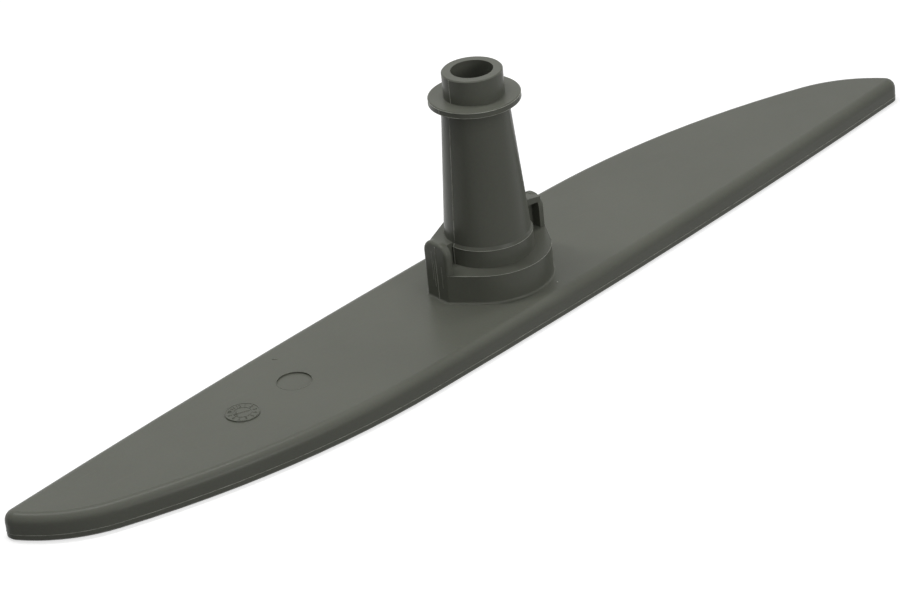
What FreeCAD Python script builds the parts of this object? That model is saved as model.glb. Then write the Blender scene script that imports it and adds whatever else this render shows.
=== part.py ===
# Dishwasher spray arm, lying on its spray side with its connecting neck up.
# The origin is on the ground under the axis of the neck. X runs along the arm from tip to tip,
# and Z points up the neck. Lengths are in millimetres and angles in degrees.
import FreeCAD
import Part
import math
import os
import Sketcher

os.makedirs("parts", exist_ok=True)
doc = FreeCAD.newDocument("spray_arm")

SIZES = {
    # Outline of the arm from above. Each half is a tip, a nose, a leading edge and a trailing
    # edge, all arcs that run into each other; the trailing arc follows from the other three.
    "arm_length": 415.0,
    "tip_radius": 4.2,
    "tip_angle": 114.2,
    "nose_radius": 50.2,
    "nose_angle": 39.5,
    "lead_radius": 323.3,
    "lead_angle": 21.95,
    # The two mouldings and the weld between them
    "seam_height": 2.4,
    "rim_height": 6.9,
    "wall": 1.8,
    "roof": 1.9,
    "floor": 1.8,
    "shoulder_radius": 3.5,
    "keel_bevel": 0.8,
    "tongue_gap": 0.15,
    "tongue_width": 1.2,
    "tongue_height": 1.4,
    # Hub: the outer and the inner ring, and the sloping ledge at the foot of the neck
    "ring_height": 10.7,
    "ring_step": 6.0,
    "inner_ring_height": 6.6,
    "ledge_width": 0.6,
    "ledge_height": 1.2,
    "hub_wall": 2.4,
    "ring_roof": 2.5,
    "foot_radius": 0.8,
    "edge_bevel": 0.35,
    # Neck, flange and collar
    "neck_root_radius": 15.3,
    "neck_tip_radius": 11.7,
    "neck_height": 49.3,
    "neck_wall": 2.3,
    "flange_radius": 16.05,
    "flange_thickness": 2.5,
    "collar_height": 9.0,
    "collar_wall": 3.25,
    "bore_radius": 7.4,
    "bore_length": 12.0,
    # Bayonet lugs: a wall with an arched top stands off the inner ring, and a stop behind it
    # closes the slot between them. The lugs reach unlike distances in front of the axis, so
    # that the arm fits one way round, and a bridge ties the taller, right one to the neck.
    "lug_proud": 2.4,
    "lug_wall": 2.6,
    "left_lug_front": 5.6,
    "left_lug_back": 6.6,
    "left_lug_height": 11.2,
    "right_lug_front": 3.0,
    "right_lug_back": 6.6,
    "right_lug_height": 12.0,
    "lug_arch_radius": 4.4,
    "lug_edge_radius": 1.2,
    "slot_depth": 0.8,
    "stop_run": 7.0,
    "bridge_foot": 10.3,
    "bridge_thickness": 2.0,
    "bridge_width": 5.2,
    # Round marks that the inserts of the mould leave in the top
    "insert_radius": 6.0,
    "insert_depth": 0.5,
    "insert_rise": 0.3,
    "plain_insert_x": -93.3,
    "plain_insert_y": -4.8,
    "date_insert_x": -118.0,
    "date_insert_y": -8.2,
    # Nozzles in the floor, the same in both halves of the arm
    "nozzle_radius": 1.5,
    "nozzle_dish_radius": 3.4,
    "first_nozzle": 48.0,
    "nozzle_pitch": 33.0,
    "nozzle_row": 9.0,
    "nozzle_stagger": 7.0,
}
NOZZLES_PER_HALF = 5
HALF_TURN = 180
FULL_TURN = 360
OVERCUT = 1.0
SLACK = 0.001

sheet = doc.addObject("Spreadsheet::Sheet", "sizes")
for row, (alias, number) in enumerate(SIZES.items(), start=1):
    sheet.set("A%d" % row, alias)
    sheet.set("B%d" % row, str(number))
    sheet.setAlias("B%d" % row, alias)
doc.recompute()


class Length:
    """A size of the sheet or a formula over sizes, kept both as text and as a number."""

    def __init__(self, text, number):
        self.text = text
        self.number = number

    def join(self, sign, other, number):
        return Length("(%s %s %s)" % (self.text, sign, as_length(other).text), number)

    def __add__(self, other):
        return self.join("+", other, self.number + as_length(other).number)

    def __sub__(self, other):
        return self.join("-", other, self.number - as_length(other).number)

    def __mul__(self, other):
        return self.join("*", other, self.number * as_length(other).number)

    def __truediv__(self, other):
        return self.join("/", other, self.number / as_length(other).number)

    def __neg__(self):
        return Length("(0 - %s)" % self.text, -self.number)


def as_length(thing):
    """A Length as it is, or a plain number made one."""
    return thing if isinstance(thing, Length) else Length(str(thing), float(thing))


def size(alias):
    """The size of that name in the sheet."""
    return Length("sizes." + alias, SIZES[alias])


ZERO = as_length(0)
ARM_TOP = size("seam_height") + size("rim_height")
CEILING = ARM_TOP - size("roof")
ROOT = ARM_TOP - size("roof") / 2
RING_TOP = ARM_TOP + size("ring_height")
INNER_RING_TOP = RING_TOP + size("inner_ring_height")
NECK_FOOT = INNER_RING_TOP + size("ledge_height")
NECK_TOP = NECK_FOOT + size("neck_height")
FLANGE_TOP = NECK_TOP + size("flange_thickness")
COLLAR_TOP = FLANGE_TOP + size("collar_height")
INNER_RING_RADIUS = size("neck_root_radius") + size("ledge_width")
RING_RADIUS = INNER_RING_RADIUS + size("ring_step")
LUG_REACH = RING_RADIUS + size("lug_proud")
COLLAR_RADIUS = size("bore_radius") + size("collar_wall")
TONGUE_INSET = size("wall") + size("tongue_gap")


def new_body(name):
    """An empty body, labelled with the name of its file."""
    body = doc.addObject("PartDesign::Body", name)
    body.Label = name
    return body


def new_sketch(body, name, role, height=ZERO):
    """A sketch on one of the body's origin planes, raised by a height along its normal."""
    sketch = body.newObject("Sketcher::SketchObject", name)
    plane = next(item for item in body.Origin.OriginFeatures if item.Role == role)
    sketch.AttachmentSupport = (plane, "")
    sketch.MapMode = "FlatFace"
    sketch.setExpression("AttachmentOffset.Base.z", height.text)
    return sketch


def new_feature(body, kind, name, **settings):
    """A feature that becomes the tip of its body; a Length binds, any other value is set."""
    feature = body.newObject("PartDesign::" + kind, name)
    for key, value in settings.items():
        if isinstance(value, Length):
            feature.setExpression(key, value.text)
        else:
            setattr(feature, key, value)
    body.Tip = feature
    doc.recompute()
    return feature


def bind(sketch, constraint, length):
    """Add a constraint whose value follows a Length."""
    index = sketch.addConstraint(constraint)
    sketch.setExpression("Constraints[%d]" % index, length.text)


def place(sketch, item, point, x, y):
    """Fix a point of a sketch at x, y from its origin; negative distances run the other way."""
    for direction, length, axis in (("DistanceX", x, -2), ("DistanceY", y, -1)):
        if length.number == 0:
            sketch.addConstraint(Sketcher.Constraint("PointOnObject", item, point, axis))
        elif length.number > 0:
            rule = Sketcher.Constraint(direction, -1, 1, item, point, length.number)
            bind(sketch, rule, length)
        else:
            rule = Sketcher.Constraint(direction, item, point, -1, 1, -length.number)
            bind(sketch, rule, -length)


def vector(x, y):
    """A point or direction in the plane of a sketch."""
    return FreeCAD.Vector(x, y, 0)


def circle_at(centre, radius):
    """Full circle in the plane of a sketch."""
    return Part.Circle(centre, FreeCAD.Vector(0, 0, 1), radius)


def arc(centre, radius, start, turn):
    """Arc with its angles in degrees, run counter-clockwise."""
    return Part.ArcOfCircle(circle_at(centre, radius), math.radians(start),
                            math.radians(start + turn))


def add_polygon(sketch, corners):
    """Closed run of straight lines through the corners, each a pair of Lengths."""
    points = [vector(x.number, y.number) for x, y in corners]
    count = len(points)
    items = [sketch.addGeometry(Part.LineSegment(points[i], points[(i + 1) % count]))
             for i in range(count)]
    for i in range(count):
        following = items[(i + 1) % count]
        sketch.addConstraint(Sketcher.Constraint("Coincident", items[i], 2, following, 1))
    for item, (x, y) in zip(items, corners):
        place(sketch, item, 1, x, y)


def add_circle(sketch, x, y, radius):
    """Full circle at x, y."""
    item = sketch.addGeometry(circle_at(vector(x.number, y.number), radius.number))
    place(sketch, item, 3, x, y)
    bind(sketch, Sketcher.Constraint("Radius", item, radius.number), radius)


def join_smoothly(sketch, items):
    """Close a ring of items, each running into the next without a corner."""
    for item, following in zip(items, items[1:] + items[:1]):
        sketch.addConstraint(Sketcher.Constraint("Tangent", item, 2, following, 1))


def heading_vector(heading):
    """Unit direction of a heading in degrees."""
    return vector(math.cos(math.radians(heading)), math.sin(math.radians(heading)))


def half_outline():
    """Radius and turn of the four arcs of a half, and the heading at the start of its tip.

    The trailing arc takes what is left of the half turn, and its chord is as long as it must
    be for the centres of the two tips to stand arm_length less two tip radii apart.
    """
    arcs = [(SIZES[part + "_radius"], SIZES[part + "_angle"]) for part in ("tip", "nose", "lead")]
    trail_turn = HALF_TURN - sum(turn for radius, turn in arcs)
    heading = 0.0
    run = -2 * SIZES["tip_radius"] * heading_vector(90)
    for radius, turn in arcs:
        left = heading_vector(heading + 90)
        run = run + radius * left
        heading += turn
        run = run - radius * heading_vector(heading + 90)
    chord_way = heading_vector(heading + trail_turn / 2)
    span = SIZES["arm_length"] - 2 * SIZES["tip_radius"]
    along = run.dot(chord_way)
    chord = -along + math.sqrt(along ** 2 - run.dot(run) + span ** 2)
    trail_radius = chord / (2 * math.sin(math.radians(trail_turn / 2)))
    arcs.append((trail_radius, trail_turn))
    way = run + chord * chord_way
    return arcs, HALF_TURN - math.degrees(math.atan2(way.y, way.x))


def add_outline(sketch, inset):
    """Outline of the arm, moved inwards by an inset: two like halves, turned half a turn."""
    arcs, heading = half_outline()
    tip_distance = (size("arm_length") - size("tip_radius") * 2) / 2
    items = []
    for side in (1, -1):
        centre = vector(side * tip_distance.number, 0)
        old_radius = SIZES["tip_radius"]
        for radius, turn in arcs:
            centre = centre + (radius - old_radius) * heading_vector(heading + 90)
            geometry = arc(centre, radius - inset.number, heading - 90, turn)
            items.append(sketch.addGeometry(geometry))
            heading += turn
            old_radius = radius
    join_smoothly(sketch, items)
    for first in (0, len(arcs)):
        for item, part in zip(items[first:], ("tip", "nose", "lead")):
            radius = size(part + "_radius") - inset
            turn = size(part + "_angle")
            bind(sketch, Sketcher.Constraint("Radius", item, radius.number), radius)
            rule = Sketcher.Constraint("Angle", item, math.radians(turn.number))
            bind(sketch, rule, turn)
    place(sketch, items[0], 3, tip_distance, ZERO)
    place(sketch, items[len(arcs)], 3, -tip_distance, ZERO)


def add_hub_outline(sketch):
    """The outer ring with a flat pad at each lug, run out to the pads' corners by tangents."""
    corner_radius = size("lug_edge_radius")
    x = LUG_REACH - corner_radius
    corners = [
        (x, corner_radius - size("right_lug_front")),
        (x, size("right_lug_back") - corner_radius),
        (-x, size("left_lug_back") - corner_radius),
        (-x, corner_radius - size("left_lug_front")),
    ]
    ring = RING_RADIUS.number
    small = corner_radius.number
    normals = []
    for turn, (x, y) in zip((-1, 1, -1, 1), corners):
        far = math.hypot(x.number, y.number)
        spread = math.degrees(math.acos((ring - small) / far))
        normals.append(math.degrees(math.atan2(y.number, x.number)) + turn * spread)
    centres = [vector(x.number, y.number) for x, y in corners]
    flats = (0, HALF_TURN)
    items = []
    for pair, flat in enumerate(flats):
        low, high = 2 * pair, 2 * pair + 1
        reach = small * heading_vector(flat)
        start_low = ring * heading_vector(normals[low])
        end_low = centres[low] + small * heading_vector(normals[low])
        start_high = centres[high] + small * heading_vector(normals[high])
        end_high = ring * heading_vector(normals[high])
        next_normal = normals[(high + 1) % 4]
        ring_turn = (next_normal - normals[high]) % FULL_TURN
        shapes = (
            Part.LineSegment(start_low, end_low),
            arc(centres[low], small, normals[low], (flat - normals[low]) % FULL_TURN),
            Part.LineSegment(centres[low] + reach, centres[high] + reach),
            arc(centres[high], small, flat, (normals[high] - flat) % FULL_TURN),
            Part.LineSegment(start_high, end_high),
            arc(vector(0, 0), ring, normals[high], ring_turn),
        )
        items += [sketch.addGeometry(shape) for shape in shapes]
    join_smoothly(sketch, items)
    for pair in range(2):
        for item, (x, y) in zip((items[6 * pair + 1], items[6 * pair + 3]),
                                corners[2 * pair:2 * pair + 2]):
            place(sketch, item, 3, x, y)
            bind(sketch, Sketcher.Constraint("Radius", item, small), corner_radius)
        ring_item = items[6 * pair + 5]
        sketch.addConstraint(Sketcher.Constraint("Coincident", ring_item, 3, -1, 1))
        bind(sketch, Sketcher.Constraint("Radius", ring_item, ring), RING_RADIUS)


def edges_where(feature, wanted):
    """Names of the edges of a feature that pass a test."""
    names = []
    for number, edge in enumerate(feature.Shape.Edges, start=1):
        if wanted(edge):
            names.append("Edge%d" % number)
    return names


def lies_at(edge, height):
    """Whether an edge lies flat at a height."""
    box = edge.BoundBox
    return abs(box.ZMin - height) < SLACK and abs(box.ZMax - height) < SLACK


def touches(edge, point):
    """Whether an edge ends at a point."""
    return any(vertex.Point.distanceToPoint(point) < SLACK for vertex in edge.Vertexes)


def is_hub_foot(edge):
    """Whether an edge is one of those where the hub stands on the top of the arm."""
    box = edge.BoundBox
    near = max(abs(box.XMin), abs(box.XMax)) < LUG_REACH.number + SLACK
    return lies_at(edge, ARM_TOP.number) and near


def add_arch(sketch, front, back, foot, top, radius):
    """Upright shape between two sides, with a flat foot and a top that arches into the sides."""
    spring = top - radius
    inner_front, inner_back = front + radius, back - radius
    shapes = (
        Part.LineSegment(vector(front.number, foot.number), vector(back.number, foot.number)),
        Part.LineSegment(vector(back.number, foot.number), vector(back.number, spring.number)),
        arc(vector(inner_back.number, spring.number), radius.number, 0, HALF_TURN / 2),
        Part.LineSegment(vector(inner_back.number, top.number),
                         vector(inner_front.number, top.number)),
        arc(vector(inner_front.number, spring.number), radius.number, HALF_TURN / 2,
            HALF_TURN / 2),
        Part.LineSegment(vector(front.number, spring.number), vector(front.number, foot.number)),
    )
    items = [sketch.addGeometry(shape) for shape in shapes]
    sketch.addConstraint(Sketcher.Constraint("Coincident", items[5], 2, items[0], 1))
    sketch.addConstraint(Sketcher.Constraint("Coincident", items[0], 2, items[1], 1))
    for item, following in zip(items[1:5], items[2:6]):
        sketch.addConstraint(Sketcher.Constraint("Tangent", item, 2, following, 1))
    place(sketch, items[0], 1, front, foot)
    place(sketch, items[0], 2, back, foot)
    for item, centre in ((items[2], inner_back), (items[4], inner_front)):
        place(sketch, item, 3, centre, spring)
        bind(sketch, Sketcher.Constraint("Radius", item, radius.number), radius)


def add_lug(body, name, side):
    """A lug: a wall beside the ring with an arched top, and the stop behind its slot."""
    front, back = -size(name + "_front"), size(name + "_back")
    inside = LUG_REACH - size("lug_wall")
    arch = new_sketch(body, name + "_arch", "YZ_Plane", inside if side > 0 else -inside)
    add_arch(arch, front, back, ROOT, RING_TOP + size(name + "_height"),
             size("lug_arch_radius"))
    wall = new_feature(body, "Pad", name, Profile=arch, Reversed=side < 0,
                       Length=size("lug_wall"))
    outside = LUG_REACH.number

    def is_outer_edge(edge):
        """The sides and the arch of the outer face."""
        box = edge.BoundBox
        on_face = abs(side * box.XMin - outside) < SLACK and box.XLength < SLACK
        return on_face and box.ZMax > ARM_TOP.number + SLACK

    new_feature(body, "Fillet", name + "_edge", Base=(wall, edges_where(wall, is_outer_edge)),
                Radius=size("lug_edge_radius"))
    middle = LUG_REACH - size("lug_wall") / 2
    inner = INNER_RING_RADIUS - size("neck_wall") / 2
    corners = [
        (middle, size("slot_depth")),
        (middle, back),
        (size("stop_run"), INNER_RING_RADIUS - size("ledge_width")),
        (size("stop_run"), inner - size("stop_run") / 2),
        (inner, size("slot_depth")),
    ]
    if side < 0:
        corners = [(-x, y) for x, y in corners]
    stop = new_sketch(body, name + "_stop_outline", "XY_Plane", RING_TOP - OVERCUT)
    add_polygon(stop, corners)
    return new_feature(body, "Pad", name + "_stop", Profile=stop,
                       Length=NECK_FOOT - RING_TOP + OVERCUT)


def add_bridge(body, name):
    """The bridge from the arched top of the right lug to the neck, over the slot."""
    middle = LUG_REACH - size("lug_wall") / 2
    root = size("neck_root_radius") - size("neck_wall") / 2
    foot = RING_TOP + size("bridge_foot")
    outline = new_sketch(body, name + "_outline", "XZ_Plane")
    add_polygon(outline, [
        (root, foot),
        (middle, foot - size("lug_edge_radius") / 2),
        (middle, foot + size("bridge_thickness") - size("lug_edge_radius") / 2),
        (root, foot + size("bridge_thickness") + size("lug_edge_radius") / 2),
    ])
    return new_feature(body, "Pad", name, Profile=outline, SideType="Symmetric",
                       Length=size("bridge_width"))


def revolve(body, kind, name, corners):
    """A profile of radii and heights, turned once round the axis of the neck."""
    sketch = new_sketch(body, name + "_profile", "XZ_Plane")
    add_polygon(sketch, corners)
    return new_feature(body, kind, name, Profile=sketch, ReferenceAxis=(sketch, ["V_Axis"]),
                       Angle=FULL_TURN)


def build_neck_shell():
    """Upper moulding: the hollow top of the arm with the hub, lugs, neck and collar on it."""
    body = new_body("neck_shell")
    bevel = size("edge_bevel")
    outline = new_sketch(body, "top_outline", "XY_Plane", size("seam_height"))
    add_outline(outline, ZERO)
    top = new_feature(body, "Pad", "top", Profile=outline, Length=size("rim_height"))
    top_edges = edges_where(top, lambda edge: lies_at(edge, ARM_TOP.number))
    new_feature(body, "Fillet", "shoulder", Base=(top, top_edges), Radius=size("shoulder_radius"))
    channel = new_sketch(body, "channel_outline", "XY_Plane", size("seam_height"))
    add_outline(channel, size("wall"))
    new_feature(body, "Pocket", "channel", Profile=channel, Reversed=True,
                Length=size("rim_height") - size("roof"))
    add_lug(body, "left_lug", -1)
    add_lug(body, "right_lug", 1)
    add_bridge(body, "right_bridge")
    hub_outline = new_sketch(body, "hub_outline", "XY_Plane", ROOT)
    add_hub_outline(hub_outline)
    ring = new_feature(body, "Pad", "outer_ring", Profile=hub_outline, Length=RING_TOP - ROOT)
    new_feature(body, "Fillet", "foot", Base=(ring, edges_where(ring, is_hub_foot)),
                Radius=size("foot_radius"))
    revolve(body, "Revolution", "neck", [
        (ZERO, RING_TOP - size("ring_roof") / 2),
        (INNER_RING_RADIUS, RING_TOP - size("ring_roof") / 2),
        (INNER_RING_RADIUS, INNER_RING_TOP),
        (size("neck_root_radius"), NECK_FOOT),
        (size("neck_tip_radius"), NECK_TOP),
        (size("flange_radius") - bevel, NECK_TOP),
        (size("flange_radius"), NECK_TOP + bevel),
        (size("flange_radius"), FLANGE_TOP - bevel),
        (size("flange_radius") - bevel, FLANGE_TOP),
        (COLLAR_RADIUS, FLANGE_TOP),
        (COLLAR_RADIUS, COLLAR_TOP - bevel),
        (COLLAR_RADIUS - bevel, COLLAR_TOP),
        (ZERO, COLLAR_TOP),
    ])
    inner_root = size("neck_root_radius") - size("neck_wall")
    inner_tip = size("neck_tip_radius") - size("neck_wall")
    bore_foot = COLLAR_TOP - size("bore_length")
    revolve(body, "Groove", "water_way", [
        (ZERO, CEILING - OVERCUT),
        (RING_RADIUS - size("hub_wall"), CEILING - OVERCUT),
        (RING_RADIUS - size("hub_wall"), RING_TOP - size("ring_roof")),
        (inner_root, RING_TOP - size("ring_roof")),
        (inner_root, NECK_FOOT),
        (inner_tip, bore_foot - (inner_tip - size("bore_radius"))),
        (size("bore_radius"), bore_foot),
        (size("bore_radius"), COLLAR_TOP + OVERCUT),
        (ZERO, COLLAR_TOP + OVERCUT),
    ])
    for insert, kind, length in (("plain_insert", "Pocket", size("insert_depth")),
                                 ("date_insert", "Pad", size("insert_rise"))):
        mark = new_sketch(body, insert + "_outline", "XY_Plane", ARM_TOP)
        add_circle(mark, size(insert + "_x"), size(insert + "_y"), size("insert_radius"))
        new_feature(body, kind, insert, Profile=mark, Length=length)
    return body


def build_spray_shell():
    """Lower moulding: the floor with its nozzles, and the tongue that is welded into the top."""
    body = new_body("spray_shell")
    outline = new_sketch(body, "floor_outline", "XY_Plane")
    add_outline(outline, ZERO)
    base = new_feature(body, "Pad", "base", Profile=outline, Length=size("seam_height"))
    keel_edges = edges_where(base, lambda edge: lies_at(edge, 0))
    new_feature(body, "Chamfer", "keel", Base=(base, keel_edges), Size=size("keel_bevel"))
    tongue_top = size("seam_height") + size("tongue_height")
    tongue = new_sketch(body, "tongue_outline", "XY_Plane", size("floor"))
    add_outline(tongue, TONGUE_INSET)
    new_feature(body, "Pad", "tongue", Profile=tongue, Length=tongue_top - size("floor"))
    basin = new_sketch(body, "basin_outline", "XY_Plane", tongue_top)
    add_outline(basin, TONGUE_INSET + size("tongue_width"))
    new_feature(body, "Pocket", "basin", Profile=basin, Length=tongue_top - size("floor"))
    spots = new_sketch(body, "nozzle_spots", "XY_Plane")
    for number in range(NOZZLES_PER_HALF):
        x = size("first_nozzle") + size("nozzle_pitch") * number
        side = 1 if number % 2 else -1
        y = size("nozzle_row") + size("nozzle_stagger") * side
        add_circle(spots, x, y, size("nozzle_radius"))
    holes = new_feature(body, "Hole", "nozzles", Profile=spots, Reversed=True,
                        DepthType="ThroughAll", Diameter=size("nozzle_radius") * 2,
                        HoleCutType="Countersink", HoleCutCustomValues=True,
                        HoleCutDiameter=size("nozzle_dish_radius") * 2)
    new_feature(body, "PolarPattern", "nozzles_of_both_halves", Originals=[holes],
                Axis=(spots, ["N_Axis"]), Angle=FULL_TURN, Occurrences=2)
    return body


def check_and_write(body):
    """Refuse a failed feature or an empty or broken solid, then write the node's file."""
    for item in doc.Objects:
        if "Invalid" in item.State or "Error" in item.State:
            raise RuntimeError("%s failed: %s" % (item.Name, item.State))
    shape = body.Shape
    if shape.isNull() or not shape.isValid():
        raise RuntimeError("%s has no valid solid" % body.Label)
    shape.exportStep("parts/%s.step" % body.Label)
    print(body.Label, "solids", len(shape.Solids), "volume", round(shape.Volume, 1),
          "box", shape.BoundBox)


for built in (build_neck_shell(), build_spray_shell()):
    doc.recompute()
    check_and_write(built)
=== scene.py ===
"""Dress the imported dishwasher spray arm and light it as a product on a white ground.

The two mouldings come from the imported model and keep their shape. This script gives them their
moulded finish and adds relief that is too fine for the solids: the flash where parts of the
mould met, the date clock, and the small marks on the lug and the top.
"""
import math

import bpy
import numpy as np
from mathutils import Matrix, Vector
from mathutils.geometry import convex_hull_2d


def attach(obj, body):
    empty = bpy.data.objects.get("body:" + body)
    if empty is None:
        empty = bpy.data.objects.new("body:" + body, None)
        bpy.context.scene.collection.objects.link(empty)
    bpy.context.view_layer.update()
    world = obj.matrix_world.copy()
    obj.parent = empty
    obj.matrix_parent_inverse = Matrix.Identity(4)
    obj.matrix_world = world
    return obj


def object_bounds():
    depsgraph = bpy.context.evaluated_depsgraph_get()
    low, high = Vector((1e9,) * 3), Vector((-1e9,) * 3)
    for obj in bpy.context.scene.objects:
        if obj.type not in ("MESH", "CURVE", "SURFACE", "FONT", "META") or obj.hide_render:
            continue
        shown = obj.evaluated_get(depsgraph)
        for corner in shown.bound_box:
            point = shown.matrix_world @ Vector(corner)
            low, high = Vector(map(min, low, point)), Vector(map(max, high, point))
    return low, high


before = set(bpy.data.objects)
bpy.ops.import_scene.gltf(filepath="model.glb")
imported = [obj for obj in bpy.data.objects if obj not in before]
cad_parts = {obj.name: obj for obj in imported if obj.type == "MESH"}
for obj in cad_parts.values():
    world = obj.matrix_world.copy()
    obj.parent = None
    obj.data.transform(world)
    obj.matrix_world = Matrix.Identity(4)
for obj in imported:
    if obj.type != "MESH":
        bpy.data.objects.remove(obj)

bl_info = {
    "name": "Dishwasher Spray Arm",
    "version": (1, 0, 0),
    "blender": (4, 5, 0),
    "location": "View3D > Sidebar > Spray Arm",
    "description": "Finish, mould marks and product stage for the packed spray arm",
    "category": "Object",
}

MM = 0.001
BODY = "root"
CAD_BOUNDS = [list(corner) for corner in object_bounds()]
UP = (0.0, 0.0, 1.0)

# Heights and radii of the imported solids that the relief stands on, in millimetres
SEAM_HEIGHT = 2.4
ARM_TOP = 9.3
RING_TOP = 20.0
LEDGE_FOOT = 26.6
NECK_FOOT = 27.8
NECK_TOP = 77.1
FLANGE_TOP = 79.6
COLLAR_TOP = 88.6
RING_RADIUS = 21.9
INNER_RING_RADIUS = 15.9
NECK_ROOT_RADIUS = 15.3
NECK_TIP_RADIUS = 11.7
FLANGE_RADIUS = 16.05
COLLAR_RADIUS = 10.65
EDGE_BEVEL = 0.35
LUG_REACH = 24.3
LUG_CORNER = 1.2
LUG_FRONTS = {-1: 5.6, 1: 3.0}
LUG_BACK = 6.6
LUG_TOPS = {-1: 31.2, 1: 32.0}
DISC_RADIUS = 6.0
DATE_DISC_RISE = 0.3
DATE_DISC = (-118.0, -8.2, ARM_TOP + DATE_DISC_RISE)
PLAIN_DISC = (-93.3, -4.8, ARM_TOP)
TOP_CENTRE = (0.0, 0.0, ARM_TOP)

# Finer flash, as shares of the full line's width and height
RING_EDGE_WIDTH = 0.6
CIRCLE_WIDTH = 0.55
SEAM_WIDTH = 0.8
FINE_HEIGHT = 0.6

# Tilt of the flash on the turned edges, in degrees up from level
RING_EDGE_TILT = 45.0
LEDGE_TILT = 30.0
FLANGE_TILT = 20.0

# How the seam line is read from the rim: points round it, and how near the seam they lie, in mm
SEAM_STEPS = 900
RIM_TOLERANCE = 0.01

# Marks dragged down the near lug, each with its y, its lower and its upper end, in millimetres
DRAG_LINES = ((2.1, 16.5, 27.5), (1.2, 14.0, 24.0), (-2.6, 14.5, 23.0))
DRAG_HEIGHT = 0.02

# Nicks and the lip round the plain insert, with their widths and heights, in millimetres
HUB_NICK = [(10.28, -22.62), (10.88, -22.52)]
HUB_NICK_WIDTH, HUB_NICK_HEIGHT = 0.50, 0.12
TOP_NICK = [(-89.05, 12.73), (-87.89, 11.33)]
TOP_NICK_WIDTH, TOP_NICK_HEIGHT = 0.45, 0.16
LIP_GAP, LIP_WIDTH, LIP_HEIGHT = 0.1, 0.30, 0.07

# Date clock: its outer ring's gap and the widths of its lines, in millimetres
MONTHS = 12
OUTER_RING_GAP = 0.55
CLOCK_LINE, NUMBER_LINE, ARROW_LINE, BARB_LINE = 0.32, 0.20, 0.42, 0.36
# Places of the inner ring and the numbers, as shares of the clock's radius
INNER_RING_SHARE, NUMBER_SHARE = 0.60, 0.84
# Arrow: its parts as shares of its length, and its height as a share of the clock's relief
ARROW_AHEAD, ARROW_TAIL, BARB_BACK, BARB_OUT = 0.56, 0.44, 0.22, 0.20
ARROW_RELIEF = 1.3
# Width of a digit and the pitch from one to the next, in halves of its height
DIGIT_WIDTH, DIGIT_PITCH = 0.9, 1.45

# Sizes of the patterns in the plastic, in metres
CLOUD_SIZE = 42 * MM
SPECKLE_SIZE = 0.9 * MM
RUB_LENGTH = 26 * MM
SHINE_PATCH = 9 * MM
WAVE_LENGTH = 30 * MM
FLASH_PATCH = 4 * MM
# How far the clouds and the roughness go up and down, and how much paler a rub is, as a factor
CLOUD_SWING, SHINE_SWING, RUB_PALENESS = 0.04, 0.03, 1.35
# How many times longer a rub is than wide, and a turn in degrees that picks which rubs show
RUB_STRETCH, RUB_PICK = 14.0, 24

# Polypropylene: its IOR, and a reflection level under the neutral 0.5, because the ground and
# the world show as pure white in every reflection here
PLASTIC_IOR = 1.49
PLASTIC_REFLECTION = 0.16

# Ground: its greys to the eye and to the lamps' bounced light, and a glow that lifts the first
# to white, with its half width and how far it lies under the arm, in metres
GROUND_SHOWN, GROUND_BOUNCED, GROUND_GLOW = "D9D9D9", "5F5F5F", 0.62
GROUND_HALF, GROUND_SINK = 4.0, 0.02 * MM
WHITE = (1.0, 1.0, 1.0, 1.0)

# Soft lamps: power setting, place, the point that it shines at, and width and height, in metres
ARM_MIDDLE = (0.0, 0.0, 0.02)
LAMPS = {
    "top_soft_box": ("top_power", (-0.05, -0.55, 0.92), ARM_MIDDLE, (1.4, 0.9)),
    "back_soft_box": ("back_power", (0.0, 1.1, 0.7), ARM_MIDDLE, (1.2, 0.6)),
    "high_strip": ("high_power", (0.03, 0.10, 0.92), (0.004, 0.0, 0.0), (0.55, 0.08)),
    "tip_strip": ("tip_power", (-0.28, 0.34, 0.88), (-0.2, 0.0, 0.0), (0.16, 0.06)),
    "front_soft_box": ("front_power", (0.1, -1.25, 0.40), ARM_MIDDLE, (0.5, 0.3)),
}

# Camera: its sensor in millimetres, its nearest and farthest sight in metres, and where the
# arm's origin lies from it, to the right, up and towards the back of the camera, in millimetres
SENSOR_WIDTH = 36.0
CLIP_START, CLIP_END = 0.05, 20.0
ORIGIN_FROM_CAMERA = (15.637, 1.077, -1146.707)


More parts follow.
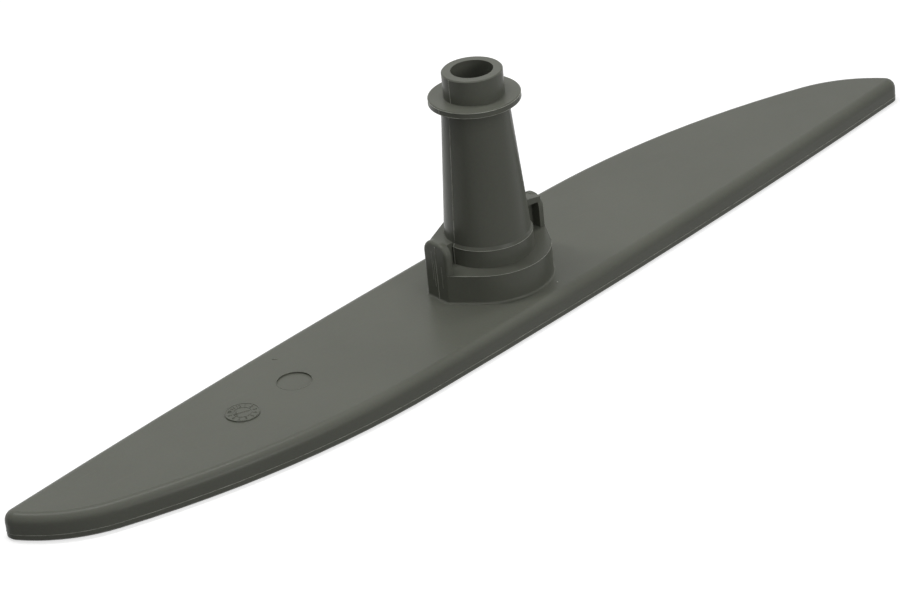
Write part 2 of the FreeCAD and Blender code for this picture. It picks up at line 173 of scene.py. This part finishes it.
class SprayArmMarks(bpy.types.PropertyGroup):
    """Sizes of the relief that moulding and handling leave on the arm."""

    flash_width: bpy.props.FloatProperty(
        name="Flash Width", description="Width of the line where two halves of the mould met",
        default=0.34 * MM, min=0.05 * MM, subtype="DISTANCE", unit="LENGTH")
    flash_height: bpy.props.FloatProperty(
        name="Flash Height", description="How far that line stands out of the surface",
        default=0.13 * MM, min=0.02 * MM, subtype="DISTANCE", unit="LENGTH")
    clock_ring: bpy.props.FloatProperty(
        name="Clock Radius", description="Radius that the clock's rings and numbers are set from",
        default=5.2 * MM, min=1.0 * MM, subtype="DISTANCE", unit="LENGTH")
    clock_relief: bpy.props.FloatProperty(
        name="Clock Relief", description="Height of the rings and numbers of the date clock",
        default=0.17 * MM, min=0.05 * MM, subtype="DISTANCE", unit="LENGTH")
    number_height: bpy.props.FloatProperty(
        name="Number Height", description="Height of the month numbers on the date clock",
        default=1.25 * MM, min=0.3 * MM, subtype="DISTANCE", unit="LENGTH")
    drag_width: bpy.props.FloatProperty(
        name="Drag Mark Width", description="Width of the marks dragged down the lug's face",
        default=0.20 * MM, min=0.05 * MM, subtype="DISTANCE", unit="LENGTH")
    arrow_length: bpy.props.FloatProperty(
        name="Arrow Length", description="Length of the arrow in the middle of the date clock",
        default=5.4 * MM, min=1.0 * MM, subtype="DISTANCE", unit="LENGTH")
    arrow_heading: bpy.props.FloatProperty(
        name="Clock Heading",
        description="Where the arrow points, counter-clockwise from +X; the numbers turn with it",
        default=math.radians(-20.0), subtype="ANGLE", unit="ROTATION")


class SprayArmFinish(bpy.types.PropertyGroup):
    """Colour and gloss of the moulded plastic."""

    colour: bpy.props.StringProperty(
        name="Colour", description="Colour of the polypropylene, as an sRGB hex value",
        default="64665D")
    roughness: bpy.props.FloatProperty(
        name="Roughness", description="Roughness of the eroded mould surface",
        default=0.34, min=0.0, max=1.0, subtype="FACTOR")
    # Paler colour of the flash lines: partly whitened flash, partly a painted highlight on their
    # edges
    flash_colour: bpy.props.StringProperty(
        name="Flash Colour", description="Colour of thin, whitened flash, as an sRGB hex value",
        default="B2B4AA")
    grain_size: bpy.props.FloatProperty(
        name="Grain Size",
        description="Grain of the eroded mould, drawn coarser than a real one so that it shows",
        default=0.35 * MM, min=0.05 * MM, subtype="DISTANCE", unit="LENGTH")


class SprayArmStage(bpy.types.PropertyGroup):
    """Camera, lamps and world."""

    lens: bpy.props.FloatProperty(
        name="Lens", description="Focal length on a 36 mm wide sensor",
        default=129.76, min=10.0, subtype="DISTANCE_CAMERA")
    azimuth: bpy.props.FloatProperty(
        name="Azimuth", description="Turn of the camera round the arm, from the front",
        default=math.radians(38.1), subtype="ANGLE", unit="ROTATION")
    elevation: bpy.props.FloatProperty(
        name="Elevation", description="Height of the camera above the ground, as an angle",
        default=math.radians(28.226), subtype="ANGLE", unit="ROTATION")
    roll: bpy.props.FloatProperty(
        name="Roll", description="Turn of the camera about its own line of sight",
        default=math.radians(6.08), subtype="ANGLE", unit="ROTATION")
    top_power: bpy.props.FloatProperty(
        name="Top Lamp", description="Power of the soft box above the arm",
        default=3.0, min=0.0, unit="POWER")
    back_power: bpy.props.FloatProperty(
        name="Back Lamp", description="Power of the soft box behind the arm",
        default=0.8, min=0.0, unit="POWER")
    high_power: bpy.props.FloatProperty(
        name="High Strip", description="Power of the strip that draws the bright shoulder line",
        default=3.2, min=0.0, unit="POWER")
    tip_power: bpy.props.FloatProperty(
        name="Tip Strip", description="Power of the strip that brightens the shoulder at the tip",
        default=1.2, min=0.0, unit="POWER")
    front_power: bpy.props.FloatProperty(
        name="Front Lamp", description="Power of the low soft box in front of the arm",
        default=3.2, min=0.0, unit="POWER")
    world_strength: bpy.props.FloatProperty(
        name="World", description="Strength of the even light from all round",
        default=0.08, min=0.0)


def linear_colour(hex_value):
    """Linear RGBA of an sRGB hex value, by the two-part sRGB curve."""
    channels = [int(hex_value[i:i + 2], 16) / 255 for i in (0, 2, 4)]
    linear = [c / 12.92 if c <= 0.04045 else ((c + 0.055) / 1.055) ** 2.4 for c in channels]
    return (*linear, 1.0)


def shaded(colour, factor):
    """A linear colour made darker or lighter by a factor, and white at most."""
    return (*[min(1.0, channel * factor) for channel in colour[:3]], 1.0)


def add_node(tree, kind, settings=None, **links):
    """Add a node, set its attributes, and link or set its inputs by name.

    A socket as a value is linked, anything else becomes the input's value. In the name of an
    input a space is written as _ and a number after __ picks an input by its place.
    """
    node = tree.nodes.new(kind)
    for key, value in (settings or {}).items():
        setattr(node, key, value)
    for key, value in links.items():
        socket = node.inputs[int(key[2:]) if key.startswith("__") else key.replace("_", " ")]
        if isinstance(value, bpy.types.NodeSocket):
            tree.links.new(value, socket)
        else:
            socket.default_value = value
    return node


def new_material(name):
    """A material with an empty tree of nodes, and that tree."""
    material = bpy.data.materials.new(name)
    material.use_nodes = True
    material.node_tree.nodes.clear()
    return material, material.node_tree


def moulded_polypropylene(finish):
    """Grey polypropylene, injection moulded in a finely eroded steel mould.

    The eye gets an even satin grey with a broad, soft shine, a grain too fine to see but as a
    softness of the shine, slight clouds of colour from the flow of the pigment, and a few thin
    paler rubs from handling.
    """
    material, tree = new_material("moulded_polypropylene")
    place = add_node(tree, "ShaderNodeTexCoord").outputs["Object"]

    base = linear_colour(finish.colour)
    clouds = add_node(tree, "ShaderNodeTexNoise", Vector=place, Scale=1 / CLOUD_SIZE,
                      Detail=3.0, Roughness=0.5)
    cloud_colour = add_node(tree, "ShaderNodeValToRGB", Fac=clouds.outputs["Fac"])
    low, high = cloud_colour.color_ramp.elements
    low.position, high.position = 0.34, 0.66
    low.color, high.color = shaded(base, 1 - CLOUD_SWING), shaded(base, 1 + CLOUD_SWING)

    speckle = add_node(tree, "ShaderNodeTexNoise", Vector=place, Scale=1 / SPECKLE_SIZE,
                       Detail=2.0, Roughness=0.6)
    speckle_colour = add_node(tree, "ShaderNodeMixRGB", {"blend_type": "SOFT_LIGHT"}, Fac=0.10,
                              Color1=cloud_colour.outputs["Color"],
                              Color2=speckle.outputs["Color"])

    # The rubs run along X. The turn follows the stretch, so it moves to another part of the
    # noise and leaves their direction as it is
    stretched = add_node(tree, "ShaderNodeMapping", Vector=place,
                         Rotation=(0.0, 0.0, math.radians(RUB_PICK)),
                         Scale=(1.0, RUB_STRETCH, 1.0))
    rub_noise = add_node(tree, "ShaderNodeTexNoise", Vector=stretched.outputs["Vector"],
                         Scale=1 / RUB_LENGTH, Detail=5.0, Roughness=0.62)
    rubs = add_node(tree, "ShaderNodeMapRange", Value=rub_noise.outputs["Fac"],
                    From_Min=0.62, From_Max=0.74, To_Min=0.0, To_Max=0.22)
    rubbed = add_node(tree, "ShaderNodeMixRGB", Fac=rubs.outputs["Result"],
                      Color1=speckle_colour.outputs["Color"],
                      Color2=shaded(base, RUB_PALENESS))

    shine_noise = add_node(tree, "ShaderNodeTexNoise", Vector=place, Scale=1 / SHINE_PATCH,
                           Detail=4.0, Roughness=0.55)
    shine = add_node(tree, "ShaderNodeMapRange", Value=shine_noise.outputs["Fac"],
                     From_Min=0.3, From_Max=0.7, To_Min=finish.roughness - SHINE_SWING,
                     To_Max=finish.roughness + SHINE_SWING)

    grain = add_node(tree, "ShaderNodeTexNoise", Vector=place, Scale=1 / finish.grain_size,
                     Detail=2.0, Roughness=0.5)
    grain_bump = add_node(tree, "ShaderNodeBump", Strength=0.12, Distance=0.02 * MM,
                          Height=grain.outputs["Fac"])
    waves = add_node(tree, "ShaderNodeTexNoise", Vector=place, Scale=1 / WAVE_LENGTH,
                     Detail=1.0, Roughness=0.4)
    wave_bump = add_node(tree, "ShaderNodeBump", Strength=0.10, Distance=0.20 * MM,
                         Height=waves.outputs["Fac"], Normal=grain_bump.outputs["Normal"])

    shader = add_node(tree, "ShaderNodeBsdfPrincipled", Base_Color=rubbed.outputs["Color"],
                      Roughness=shine.outputs["Result"], IOR=PLASTIC_IOR,
                      Specular_IOR_Level=PLASTIC_REFLECTION, Normal=wave_bump.outputs["Normal"])
    add_node(tree, "ShaderNodeOutputMaterial", Surface=shader.outputs["BSDF"])
    return material


def whitened_flash(finish):
    """Thin polypropylene flash, drawn paler than the moulding: partly whitened where it was
    squeezed and scraped, and partly a painted highlight for the light its crisp edges catch.

    The eye gets a paler, duller grey than the moulding's, uneven along the line.
    """
    material, tree = new_material("whitened_flash")
    place = add_node(tree, "ShaderNodeTexCoord").outputs["Object"]
    uneven = add_node(tree, "ShaderNodeTexNoise", Vector=place, Scale=1 / FLASH_PATCH,
                      Detail=3.0, Roughness=0.6)
    share = add_node(tree, "ShaderNodeMapRange", Value=uneven.outputs["Fac"],
                     From_Min=0.35, From_Max=0.6, To_Min=0.35, To_Max=0.85)
    colour = add_node(tree, "ShaderNodeMixRGB", Fac=share.outputs["Result"],
                      Color1=linear_colour(finish.colour),
                      Color2=linear_colour(finish.flash_colour))
    shader = add_node(tree, "ShaderNodeBsdfPrincipled", Base_Color=colour.outputs["Color"],
                      Roughness=0.5, IOR=PLASTIC_IOR, Specular_IOR_Level=PLASTIC_REFLECTION)
    add_node(tree, "ShaderNodeOutputMaterial", Surface=shader.outputs["BSDF"])
    return material


def made_once(make):
    """The material that a function of this file makes, made when it is first asked for."""
    found = bpy.data.materials.get(make.__name__)
    return found or make(bpy.context.scene.spray_arm_finish)


def seen_directly(tree):
    """Socket that is one for rays of the camera, of reflections and through clear things."""
    ray = add_node(tree, "ShaderNodeLightPath")
    direct = add_node(tree, "ShaderNodeMath", {"operation": "MAXIMUM"},
                      __0=ray.outputs["Is Camera Ray"], __1=ray.outputs["Is Glossy Ray"])
    shown = add_node(tree, "ShaderNodeMath", {"operation": "MAXIMUM"},
                     __0=direct.outputs["Value"], __1=ray.outputs["Is Transmission Ray"])
    return shown.outputs["Value"]


def white_ground():
    """White sweep of the studio: white to the eye and in reflections, grey to bounced light.

    A ray from the camera or a mirror sees white where the lamps reach the ground and no shadow
    falls, and light grey far away from them. A diffuse ray sees a mid grey sheet, which throws
    a little light back up at the object.
    """
    material, tree = new_material("white_ground")
    paper = add_node(tree, "ShaderNodeBsdfDiffuse", Color=linear_colour(GROUND_SHOWN))
    glow = add_node(tree, "ShaderNodeEmission", Color=WHITE, Strength=GROUND_GLOW)
    lit_paper = add_node(tree, "ShaderNodeAddShader", __0=paper.outputs["BSDF"],
                         __1=glow.outputs["Emission"])
    plain_paper = add_node(tree, "ShaderNodeBsdfDiffuse", Color=linear_colour(GROUND_BOUNCED))
    mixed = add_node(tree, "ShaderNodeMixShader", __0=seen_directly(tree),
                     __1=plain_paper.outputs["BSDF"], __2=lit_paper.outputs["Shader"])
    add_node(tree, "ShaderNodeOutputMaterial", Surface=mixed.outputs["Shader"])
    return material


def joined_mesh(name, parts):
    """One smooth mesh of several (points in millimetres, faces) pairs."""
    points, faces, offset = [], [], 0
    for part_points, part_faces in parts:
        points.append(part_points * MM)
        faces += [[corner + offset for corner in face] for face in part_faces]
        offset += len(part_points)
    mesh = bpy.data.meshes.new(name)
    mesh.from_pydata(np.concatenate(points).tolist(), [], faces)
    mesh.polygons.foreach_set("use_smooth", np.ones(len(mesh.polygons), dtype=bool))
    mesh.update()
    return mesh


def new_piece(name, parts, material):
    """Piece made of (points, faces) pairs, which rides on the arm and takes its finish."""
    mesh = joined_mesh(name, parts)
    mesh.materials.append(material)
    piece = bpy.data.objects.new(name, mesh)
    bpy.context.scene.collection.objects.link(piece)
    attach(piece, BODY)


def bead(path, outward, width, height, closed=False, sides=10):
    """Raised line along a path: a tube whose elliptic section is half sunk in the surface.

    A point of it is path + across * (width / 2) * cos(a) + outward * height * sin(a), where
    across is square to the path and to outward, and a runs once round.
    """
    path, outward = np.asarray(path, float), np.asarray(outward, float)
    if closed:
        along = np.roll(path, -1, axis=0) - np.roll(path, 1, axis=0)
    else:
        along = np.gradient(path, axis=0)
    across = np.cross(outward, along)
    across /= np.linalg.norm(across, axis=1, keepdims=True)
    angles = np.arange(sides) * (2 * math.pi / sides)
    points = (path[:, None, :]
              + across[:, None, :] * (width / 2 * np.cos(angles))[None, :, None]
              + outward[:, None, :] * (height * np.sin(angles))[None, :, None])
    index = np.arange(len(path) * sides).reshape(len(path), sides)
    following = np.roll(index, -1, axis=0) if closed else index[1:]
    here = index if closed else index[:-1]
    quads = np.stack([here, np.roll(here, -1, axis=1), np.roll(following, -1, axis=1), following],
                     axis=-1)
    faces = quads.reshape(-1, 4).tolist()
    if not closed:
        faces += [index[0][::-1].tolist(), index[-1].tolist()]
    return points.reshape(-1, 3), faces


def circle_path(radius, height, tilt, start=0.0, turn=2 * math.pi, steps=180):
    """Arc round the axis of the neck, and its ways out, tilted from level (0) to up (90).

    At an angle a a point is (radius cos a, radius sin a, height), and the way out there is
    (cos tilt cos a, cos tilt sin a, sin tilt).
    """
    closed = turn >= 2 * math.pi
    angles = start + np.linspace(0.0, turn, steps, endpoint=not closed)
    path = np.stack([radius * np.cos(angles), radius * np.sin(angles),
                     np.full(steps, height)], axis=1)
    level, up = math.cos(math.radians(tilt)), math.sin(math.radians(tilt))
    outward = np.stack([level * np.cos(angles), level * np.sin(angles), np.full(steps, up)],
                       axis=1)
    return path, outward


def straight_path(first, last, outward, steps=24):
    """Straight line between two points, with one way out of the surface."""
    share = np.linspace(0.0, 1.0, steps)[:, None]
    path = np.asarray(first) * (1 - share) + np.asarray(last) * share
    way = np.asarray(outward, float)
    return path, np.repeat(way[None] / np.linalg.norm(way), steps, axis=0)


def ring_edge_path(side, steps=96):
    """Top edge of the outer ring on one side (-1 front, 1 back), with its tangents to the lugs.

    From the corner circle of each lug the edge runs straight to the ring: the line's normal
    turns away from the corner's own direction by arccos((ring - corner) / distance).
    """
    ends = []
    for lug in (side, -side):
        reach = LUG_BACK if side > 0 else LUG_FRONTS[lug]
        x, y = lug * (LUG_REACH - LUG_CORNER), side * (reach - LUG_CORNER)
        spread = math.acos((RING_RADIUS - LUG_CORNER) / math.hypot(x, y))
        normal = math.atan2(y, x) + lug * side * spread
        ends.append((normal, [[x + LUG_CORNER * math.cos(normal),
                               y + LUG_CORNER * math.sin(normal), RING_TOP]]))
    (first, foot), (last, head) = ends
    turn = (last - first) % (2 * math.pi)
    arc, outward = circle_path(RING_RADIUS, RING_TOP, RING_EDGE_TILT, first, turn, steps)
    return np.concatenate([foot, arc, head]), np.concatenate([outward[:1], outward, outward[-1:]])


def seam_path():
    """Outline of the arm at the seam, read from the lower moulding's rim, and its ways out.

    The outline bulges everywhere, so it is the hull of the rim's points. At each point the way
    out is square to the line between its neighbours.
    """
    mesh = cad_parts["spray_shell"].data
    points = np.empty(len(mesh.vertices) * 3)
    mesh.vertices.foreach_get("co", points)
    points = points.reshape(-1, 3) / MM
    rim = points[np.abs(points[:, 2] - SEAM_HEIGHT) < RIM_TOLERANCE][:, :2]
    hull = rim[convex_hull_2d([Vector(point) for point in rim])]
    reach = np.linalg.norm(np.roll(hull, -1, axis=0) - hull, axis=1)
    stations = np.concatenate([[0.0], np.cumsum(reach)])
    ring = np.concatenate([hull, hull[:1]])
    even = np.linspace(0.0, stations[-1], SEAM_STEPS, endpoint=False)
    path = np.column_stack([np.interp(even, stations, ring[:, 0]),
                            np.interp(even, stations, ring[:, 1]),
                            np.full(SEAM_STEPS, SEAM_HEIGHT)])
    along = np.roll(path, -1, axis=0) - np.roll(path, 1, axis=0)
    outward = np.column_stack([along[:, 1], -along[:, 0], np.zeros(SEAM_STEPS)])
    outward /= np.linalg.norm(outward, axis=1, keepdims=True)
    if np.sum(outward * path) < 0:
        outward = -outward
    return path, outward


def stroke(centre, points, width, height, steps=4):
    """Raised stroke on a level face, through points in millimetres from a centre."""
    corners = np.asarray(points, float)
    runs = [np.linspace(a, b, steps + 1)[:-1] for a, b in zip(corners[:-1], corners[1:])]
    level = np.concatenate(runs + [corners[-1:]])
    path = np.column_stack([level[:, 0] + centre[0], level[:, 1] + centre[1],
                            np.full(len(level), centre[2])])
    return bead(path, np.tile(UP, (len(path), 1)), width, height, sides=8)


def level_ring(centre, radius, width, height, steps=96):
    """Raised ring on a level face, of a radius in millimetres round a centre."""
    angles = np.arange(steps) * (2 * math.pi / steps)
    path = np.column_stack([centre[0] + radius * np.cos(angles),
                            centre[1] + radius * np.sin(angles), np.full(steps, centre[2])])
    return bead(path, np.tile(UP, (steps, 1)), width, height, closed=True, sides=8)


# Strokes of the ten digits in a box one unit wide and two high, from its middle
DIGITS = {
    "0": [[(-.5, -.8), (-.5, .8), (-.3, 1), (.3, 1), (.5, .8), (.5, -.8), (.3, -1), (-.3, -1),
           (-.5, -.8)]],
    "1": [[(-.3, .6), (.1, 1), (.1, -1)]],
    "2": [[(-.5, .7), (-.3, 1), (.3, 1), (.5, .6), (.4, .1), (-.5, -1), (.5, -1)]],
    "3": [[(-.5, 1), (.5, 1), (0, .15), (.4, 0), (.5, -.5), (.3, -1), (-.3, -1), (-.5, -.7)]],
    "4": [[(.5, -.4), (-.5, -.4), (.2, 1), (.2, -1)]],
    "5": [[(.5, 1), (-.4, 1), (-.5, .1), (.2, .2), (.5, -.2), (.4, -.8), (.1, -1), (-.5, -.9)]],
    "6": [[(.4, 1), (-.2, .7), (-.5, -.2), (-.4, -.9), (.3, -1), (.5, -.5), (.3, 0), (-.5, -.2)]],
    "7": [[(-.5, 1), (.5, 1), (-.1, -1)]],
    "8": [[(0, .1), (-.4, .5), (-.2, 1), (.2, 1), (.4, .5), (0, .1), (-.5, -.4), (-.3, -1),
           (.3, -1), (.5, -.4), (0, .1)]],
    "9": [[(.5, .2), (-.3, 0), (-.5, .5), (-.3, 1), (.4, .9), (.5, .2), (.2, -.7), (-.4, -1)]],
}


def number_strokes(value, middle, upright, height, centre, width, relief):
    """Raised strokes of a number that stands at a point, its top towards the angle upright."""
    parts = []
    text = str(value)
    unit = height / 2
    for place, digit in enumerate(text):
        shift = (place - (len(text) - 1) / 2) * DIGIT_PITCH
        for line in DIGITS[digit]:
            points = []
            for x, y in line:
                across, up = (x * DIGIT_WIDTH + shift) * unit, y * unit
                points.append((middle[0] + up * math.cos(upright) + across * math.sin(upright),
                               middle[1] + up * math.sin(upright) - across * math.cos(upright)))
            parts.append(stroke(centre, points, width, relief))
    return parts


class SprayArmDressShells(bpy.types.Operator):
    """Give both mouldings their moulded finish"""

    bl_idname = "spray_arm.dress_shells"
    bl_label = "Dress Shells"

    def execute(self, context):
        material = made_once(moulded_polypropylene)
        for name in ("neck_shell", "spray_shell"):
            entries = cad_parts[name].material_slots
            if not entries:
                raise RuntimeError("%s has no material slot" % name)
            for entry in entries:
                entry.material = material
        return {"FINISHED"}


class SprayArmAddFlash(bpy.types.Operator):
    """Add the flash lines on the hub and lugs, round their edges and along the seam"""

    bl_idname = "spray_arm.add_flash"
    bl_label = "Add Flash Lines"

    def execute(self, context):
        marks = context.scene.spray_arm_marks
        width, height = marks.flash_width / MM, marks.flash_height / MM
        # The flash's paler colour is partly whitened flash and partly a painted highlight on these
        # lines
        flash = made_once(whitened_flash)

        # Both ends of each line as (distance from the axis, height). Its way out is square to it
        upright = []
        for side in (-1, 1):
            lines = (
                ((NECK_ROOT_RADIUS, NECK_FOOT), (NECK_TIP_RADIUS, NECK_TOP)),
                ((INNER_RING_RADIUS, LEDGE_FOOT), (NECK_ROOT_RADIUS, NECK_FOOT)),
                ((INNER_RING_RADIUS, RING_TOP), (INNER_RING_RADIUS, LEDGE_FOOT)),
                ((FLANGE_RADIUS, NECK_TOP + EDGE_BEVEL), (FLANGE_RADIUS, FLANGE_TOP - EDGE_BEVEL)),
                ((COLLAR_RADIUS, FLANGE_TOP), (COLLAR_RADIUS, COLLAR_TOP - EDGE_BEVEL)),
                ((LUG_REACH, ARM_TOP), (LUG_REACH, LUG_TOPS[side] - LUG_CORNER)),
            )
            for (x0, z0), (x1, z1) in lines:
                upright.append(bead(*straight_path((side * x0, 0, z0), (side * x1, 0, z1),
                                                   (side * (z1 - z0), 0, x0 - x1)),
                                    width, height))
        new_piece("parting_line", upright, flash)

        edges = [bead(*ring_edge_path(side), width * RING_EDGE_WIDTH, height * FINE_HEIGHT)
                 for side in (-1, 1)]
        circles = ((INNER_RING_RADIUS, LEDGE_FOOT, LEDGE_TILT),
                   (FLANGE_RADIUS, FLANGE_TOP - EDGE_BEVEL, FLANGE_TILT),
                   (FLANGE_RADIUS, NECK_TOP + EDGE_BEVEL, -FLANGE_TILT))
        for circle in circles:
            edges.append(bead(*circle_path(*circle), width * CIRCLE_WIDTH, height * FINE_HEIGHT,
                              closed=True))
        new_piece("edge_flash", edges, flash)

        # The seam's line is cut off at the box of the solids, which it may not pass
        points, faces = bead(*seam_path(), width * SEAM_WIDTH, height * FINE_HEIGHT, closed=True,
                             sides=8)
        points = np.clip(points, np.array(CAD_BOUNDS[0]) / MM, np.array(CAD_BOUNDS[1]) / MM)
        new_piece("seam_flash", [(points, faces)], flash)
        return {"FINISHED"}


class SprayArmAddDragMarks(bpy.types.Operator):
    """Add the pale marks dragged down the near lug and the pale nick in front of the hub"""

    bl_idname = "spray_arm.add_drag_marks"
    bl_label = "Add Drag Marks"

    def execute(self, context):
        width = context.scene.spray_arm_marks.drag_width / MM
        drags = [bead(*straight_path((-LUG_REACH, y, low), (-LUG_REACH, y, high), (-1.0, 0.0, 0.0)),
                      width, DRAG_HEIGHT)
                 for y, low, high in DRAG_LINES]
        drags.append(stroke(TOP_CENTRE, HUB_NICK, HUB_NICK_WIDTH, HUB_NICK_HEIGHT))
        # The marks and the nick take the flash's paler colour, which is partly a painted highlight
        new_piece("drag_marks", drags, made_once(whitened_flash))
        return {"FINISHED"}


class SprayArmAddClock(bpy.types.Operator):
    """Add the raised date clock: its rings, its arrow and plain month numbers"""

    bl_idname = "spray_arm.add_clock"
    bl_label = "Add Date Clock"

    def execute(self, context):
        marks = context.scene.spray_arm_marks
        relief, radius = marks.clock_relief / MM, marks.clock_ring / MM
        parts = [level_ring(DATE_DISC, ring_radius, CLOCK_LINE, relief)
                 for ring_radius in (radius + OUTER_RING_GAP, radius * INNER_RING_SHARE)]

        reach = radius * NUMBER_SHARE
        for month in range(1, MONTHS + 1):
            heading = math.radians(90 - 360 / MONTHS * month) + marks.arrow_heading
            middle = (reach * math.cos(heading), reach * math.sin(heading))
            parts += number_strokes(month, middle, heading, marks.number_height / MM, DATE_DISC,
                                    NUMBER_LINE, relief)

        # The arrow's own direction, the one square to it, and its tip, with a barb on each side
        length, way = marks.arrow_length / MM, marks.arrow_heading
        head = np.array([-math.cos(way), -math.sin(way)])
        side = np.array([head[1], -head[0]])
        tip = head * length * ARROW_AHEAD
        parts.append(stroke(DATE_DISC, [-head * length * ARROW_TAIL, tip], ARROW_LINE,
                            relief * ARROW_RELIEF))
        for turn in (-1, 1):
            barb = tip - head * length * BARB_BACK + side * turn * length * BARB_OUT
            parts.append(stroke(DATE_DISC, [barb, tip], BARB_LINE, relief * ARROW_RELIEF))
        new_piece("date_clock", parts, made_once(moulded_polypropylene))
        return {"FINISHED"}


class SprayArmAddNicks(bpy.types.Operator):
    """Add the small nick on the flat top and the lip round the plain insert"""

    bl_idname = "spray_arm.add_nicks"
    bl_label = "Add Nicks"

    def execute(self, context):
        parts = [level_ring(PLAIN_DISC, DISC_RADIUS + LIP_GAP, LIP_WIDTH, LIP_HEIGHT),
                 stroke(TOP_CENTRE, TOP_NICK, TOP_NICK_WIDTH, TOP_NICK_HEIGHT)]
        new_piece("nicks", parts, made_once(moulded_polypropylene))
        return {"FINISHED"}


def camera_matrix(stage):
    """Place of the camera: turned by azimuth, tilted by elevation and rolled about its sight.

    The camera sees a point P as R P + t, with R the roll after the tilt after the turn, so it
    stands at minus R transposed t and is turned by R transposed.
    """
    turn = (Matrix.Rotation(stage.roll, 3, "Z")
            @ Matrix.Rotation(-(math.pi / 2 - stage.elevation), 3, "X")
            @ Matrix.Rotation(stage.azimuth, 3, "Z"))
    shift = Vector(ORIGIN_FROM_CAMERA) * MM
    return Matrix.LocRotScale(-(turn.transposed() @ shift), turn.transposed(), None)


def soft_box(name, power, place, target, size):
    """Rectangular soft lamp of a width and height, which shines at a point."""
    lamp = bpy.data.lights.new(name, "AREA")
    lamp.shape = "RECTANGLE"
    lamp.size, lamp.size_y = size
    lamp.energy = power
    lamp_object = bpy.data.objects.new(name, lamp)
    bpy.context.scene.collection.objects.link(lamp_object)
    lamp_object.location = place
    way = Vector(target) - lamp_object.location
    lamp_object.rotation_euler = way.to_track_quat("-Z", "Y").to_euler()
    lamp_object.visible_camera = False


class SprayArmBuildStage(bpy.types.Operator):
    """Make the white ground, the soft lamps, the even world light and the camera"""

    bl_idname = "spray_arm.build_stage"
    bl_label = "Build Stage"

    def execute(self, context):
        stage = context.scene.spray_arm_stage
        corners = [(x * GROUND_HALF, y * GROUND_HALF, 0)
                   for x, y in ((-1, -1), (1, -1), (1, 1), (-1, 1))]
        mesh = bpy.data.meshes.new("ground")
        mesh.from_pydata(corners, [], [(0, 1, 2, 3)])
        ground = bpy.data.objects.new("ground", mesh)
        context.scene.collection.objects.link(ground)
        mesh.materials.append(white_ground())
        ground.location.z = -GROUND_SINK

        world = bpy.data.worlds.new("even_light")
        context.scene.world = world
        world.use_nodes = True
        tree = world.node_tree
        tree.nodes.clear()
        even = add_node(tree, "ShaderNodeBackground", Color=WHITE, Strength=stage.world_strength)
        white = add_node(tree, "ShaderNodeBackground", Color=WHITE, Strength=1.0)
        mixed = add_node(tree, "ShaderNodeMixShader", __0=seen_directly(tree),
                         __1=even.outputs["Background"], __2=white.outputs["Background"])
        add_node(tree, "ShaderNodeOutputWorld", Surface=mixed.outputs["Shader"])

        for name, (power, place, target, size) in LAMPS.items():
            soft_box(name, getattr(stage, power), place, target, size)

        camera = bpy.data.cameras.new("camera")
        camera.sensor_width = SENSOR_WIDTH
        camera.lens = stage.lens
        camera.clip_start, camera.clip_end = CLIP_START, CLIP_END
        camera_object = bpy.data.objects.new("camera", camera)
        context.scene.collection.objects.link(camera_object)
        camera_object.matrix_world = camera_matrix(stage)
        context.scene.camera = camera_object
        context.scene.view_settings.view_transform = "Standard"
        return {"FINISHED"}


class SprayArmPanel(bpy.types.Panel):
    """Sizes and steps of the spray arm"""

    bl_label = "Spray Arm"
    bl_idname = "VIEW3D_PT_spray_arm"
    bl_space_type = "VIEW_3D"
    bl_region_type = "UI"
    bl_category = "Spray Arm"

    def draw(self, context):
        for name in GROUPS:
            group = getattr(context.scene, name)
            box = self.layout.box()
            for key in group.bl_rna.properties.keys():
                if key not in ("rna_type", "name"):
                    box.prop(group, key)
        for operator in STEPS:
            self.layout.operator(operator.bl_idname)


GROUPS = {"spray_arm_marks": SprayArmMarks, "spray_arm_finish": SprayArmFinish,
          "spray_arm_stage": SprayArmStage}
STEPS = (SprayArmDressShells, SprayArmAddFlash, SprayArmAddDragMarks, SprayArmAddClock,
         SprayArmAddNicks, SprayArmBuildStage)
CLASSES = (*GROUPS.values(), *STEPS, SprayArmPanel)


def register():
    """Register the classes and put the groups of settings on the scene."""
    for item in CLASSES:
        bpy.utils.register_class(item)
    for key, group in GROUPS.items():
        setattr(bpy.types.Scene, key, bpy.props.PointerProperty(type=group))


def unregister():
    """Take the groups of settings off the scene and unregister the classes."""
    for key in GROUPS:
        delattr(bpy.types.Scene, key)
    for item in reversed(CLASSES):
        bpy.utils.unregister_class(item)


def main():
    """Build everything in order."""
    register()
    bpy.ops.spray_arm.dress_shells()
    bpy.ops.spray_arm.add_flash()
    bpy.ops.spray_arm.add_drag_marks()
    bpy.ops.spray_arm.add_clock()
    bpy.ops.spray_arm.add_nicks()
    bpy.ops.spray_arm.build_stage()


if __name__ == "__main__":
    main()
